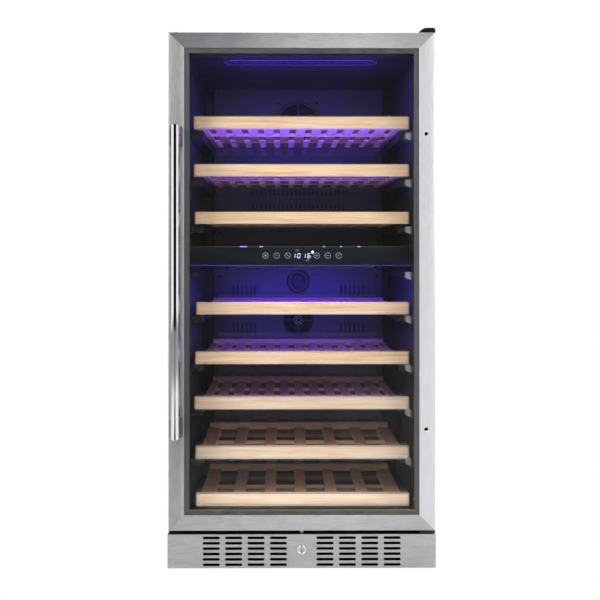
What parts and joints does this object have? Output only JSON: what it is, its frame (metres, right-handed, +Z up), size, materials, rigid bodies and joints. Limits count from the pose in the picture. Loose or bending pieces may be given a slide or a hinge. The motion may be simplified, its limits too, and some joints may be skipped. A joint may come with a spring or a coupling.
{
  "type": "wine cooler",
  "caption": "Tall dual-zone wine cooler with a steel-framed glass door, beech racks on slides, violet light and a slotted kick plate.",
  "frame": {"origin": "on the floor, at the middle of the overall width and depth", "axes": "+Z up, the door faces -Y, +X to the right of someone facing the door"},
  "size_m": [0.595, 0.629, 1.2025],
  "materials": {
    "black_painted_steel": "satin black powder coat",
    "galvanised_steel": "galvanised sheet",
    "brushed_steel": "brushed stainless",
    "chrome": "polished chrome",
    "black_liner": "fine-textured black sheet",
    "foam": "rigid foam",
    "dark_glass": "dark glossy touch glass",
    "clear_glass": "clear toughened glass",
    "lamp_lens": "lit violet lens",
    "aluminium": "mill finish",
    "compressor_black": "gloss black enamel",
    "copper_fins": "thin fins",
    "black_plastic": "moulded",
    "charcoal_plastic": "moulded",
    "frame_plastic": "satin dark grey",
    "rubber": "soft matt black",
    "zinc": "zinc plated",
    "beech": "sanded beech, thin clear coat"
  },
  "bodies": {
    "cabinet": {"outer_shell": "black_painted_steel", "back_panel": "galvanised_steel", "base_pan": "galvanised_steel", "inner_liner": "black_liner", "foam_insulation": "foam", "zone_divider": "black_liner", "control_panel": "dark_glass", "upper_air_duct": "black_liner", "lower_air_duct": "black_liner", "upper_lamp": "lamp_lens", "lower_lamp": "lamp_lens", "upper_evaporator": "aluminium", "lower_evaporator": "aluminium", "compressor": "compressor_black", "condenser": "copper_fins", "cable_gland": "black_plastic", "kick_plate": "brushed_steel", "upper_hinge": "black_plastic", "lower_hinge": "galvanised_steel", "runner_1_left": "zinc", "runner_1_right": "zinc", "runner_2_left": "zinc", "runner_2_right": "zinc", "runner_3_left": "zinc", "runner_3_right": "zinc", "runner_4_left": "zinc", "runner_4_right": "zinc", "runner_5_left": "zinc", "runner_5_right": "zinc", "runner_6_left": "zinc", "runner_6_right": "zinc", "runner_7_left": "zinc", "runner_7_right": "zinc"},
    "door": {"door_frame": "brushed_steel", "door_inner_frame": "frame_plastic", "outer_glass": "clear_glass", "glass_spacer": "aluminium", "inner_glass": "clear_glass", "door_gasket": "rubber", "handle": "chrome", "upper_hole_plug": "chrome", "lower_hole_plug": "chrome"},
    "shelf_1": {"shelf_1": "beech"},
    "shelf_2": {"shelf_2": "beech"},
    "shelf_3": {"shelf_3": "beech"},
    "shelf_4": {"shelf_4": "beech"},
    "shelf_5": {"shelf_5": "beech"},
    "shelf_6": {"shelf_6": "beech"},
    "shelf_7": {"shelf_7": "beech"},
    "shelf_8": {"shelf_8": "beech"},
    "upper_fan": {"upper_fan": "black_plastic"},
    "lower_fan": {"lower_fan": "black_plastic"},
    "condenser_fan": {"condenser_fan": "black_plastic"},
    "charcoal_filter": {"charcoal_filter": "charcoal_plastic"},
    "lock_barrel": {"lock_barrel": "chrome"},
    "lock_bolt": {"lock_bolt": "zinc"},
    "foot_front_left": {"foot_front_left": "black_plastic"},
    "foot_front_right": {"foot_front_right": "black_plastic"},
    "foot_rear_left": {"foot_rear_left": "black_plastic"},
    "foot_rear_right": {"foot_rear_right": "black_plastic"}
  },
  "joints": [
    {"name": "door_hinge", "type": "hinge", "parent": "cabinet", "child": "door", "pos_m": [0.285, -0.2485, 0.088], "axis": [0, 0, 1], "range_deg": [0, 110]},
    {"name": "shelf_1_slide", "type": "slide", "parent": "cabinet", "child": "shelf_1", "axis": [0, -1, 0], "range_m": [0, 0.035]},
    {"name": "shelf_2_slide", "type": "slide", "parent": "cabinet", "child": "shelf_2", "axis": [0, -1, 0], "range_m": [0, 0.035]},
    {"name": "shelf_3_slide", "type": "slide", "parent": "cabinet", "child": "shelf_3", "axis": [0, -1, 0], "range_m": [0, 0.035]},
    {"name": "shelf_4_slide", "type": "slide", "parent": "cabinet", "child": "shelf_4", "axis": [0, -1, 0], "range_m": [0, 0.035]},
    {"name": "shelf_5_slide", "type": "slide", "parent": "cabinet", "child": "shelf_5", "axis": [0, -1, 0], "range_m": [0, 0.035]},
    {"name": "shelf_6_slide", "type": "slide", "parent": "cabinet", "child": "shelf_6", "axis": [0, -1, 0], "range_m": [0, 0.035]},
    {"name": "shelf_7_slide", "type": "slide", "parent": "cabinet", "child": "shelf_7", "axis": [0, -1, 0], "range_m": [0, 0.035]},
    {"name": "shelf_8_slide", "type": "slide", "parent": "cabinet", "child": "shelf_8", "axis": [0, -1, 0], "range_m": [0, 0.02]},
    {"name": "upper_fan_spin", "type": "hinge", "parent": "cabinet", "child": "upper_fan", "pos_m": [0, 0.2395, 1.056], "axis": [0, -1, 0], "continuous": true},
    {"name": "lower_fan_spin", "type": "hinge", "parent": "cabinet", "child": "lower_fan", "pos_m": [0, 0.2395, 0.521], "axis": [0, -1, 0], "continuous": true},
    {"name": "condenser_fan_spin", "type": "hinge", "parent": "cabinet", "child": "condenser_fan", "pos_m": [-0.105, 0.2255, 0.0895], "axis": [1, 0, 0], "continuous": true},
    {"name": "filter_twist", "type": "hinge", "parent": "cabinet", "child": "charcoal_filter", "pos_m": [0, 0.2285, 0.626], "axis": [0, -1, 0], "range_deg": [0, 45]},
    {"name": "lock_turn", "type": "hinge", "parent": "cabinet", "child": "lock_barrel", "pos_m": [0, -0.2655, 0.044], "axis": [0, -1, 0], "range_deg": [0, 90]},
    {"name": "bolt_lift", "type": "slide", "parent": "cabinet", "child": "lock_bolt", "axis": [0, 0, 1], "range_m": [0, 0.008]},
    {"name": "foot_front_left_turn", "type": "hinge", "parent": "cabinet", "child": "foot_front_left", "pos_m": [-0.255, -0.1765, 0], "axis": [0, 0, 1], "range_deg": [0, 360]},
    {"name": "foot_front_right_turn", "type": "hinge", "parent": "cabinet", "child": "foot_front_right", "pos_m": [0.255, -0.1765, 0], "axis": [0, 0, 1], "range_deg": [0, 360]},
    {"name": "foot_rear_left_turn", "type": "hinge", "parent": "cabinet", "child": "foot_rear_left", "pos_m": [-0.255, 0.2635, 0], "axis": [0, 0, 1], "range_deg": [0, 360]},
    {"name": "foot_rear_right_turn", "type": "hinge", "parent": "cabinet", "child": "foot_rear_right", "pos_m": [0.255, 0.2635, 0], "axis": [0, 0, 1], "range_deg": [0, 360]}
  ],
  "couplings": [
    {"joint": "bolt_lift", "follows": "lock_turn", "m_per_rad": 0.005093}
  ]
}
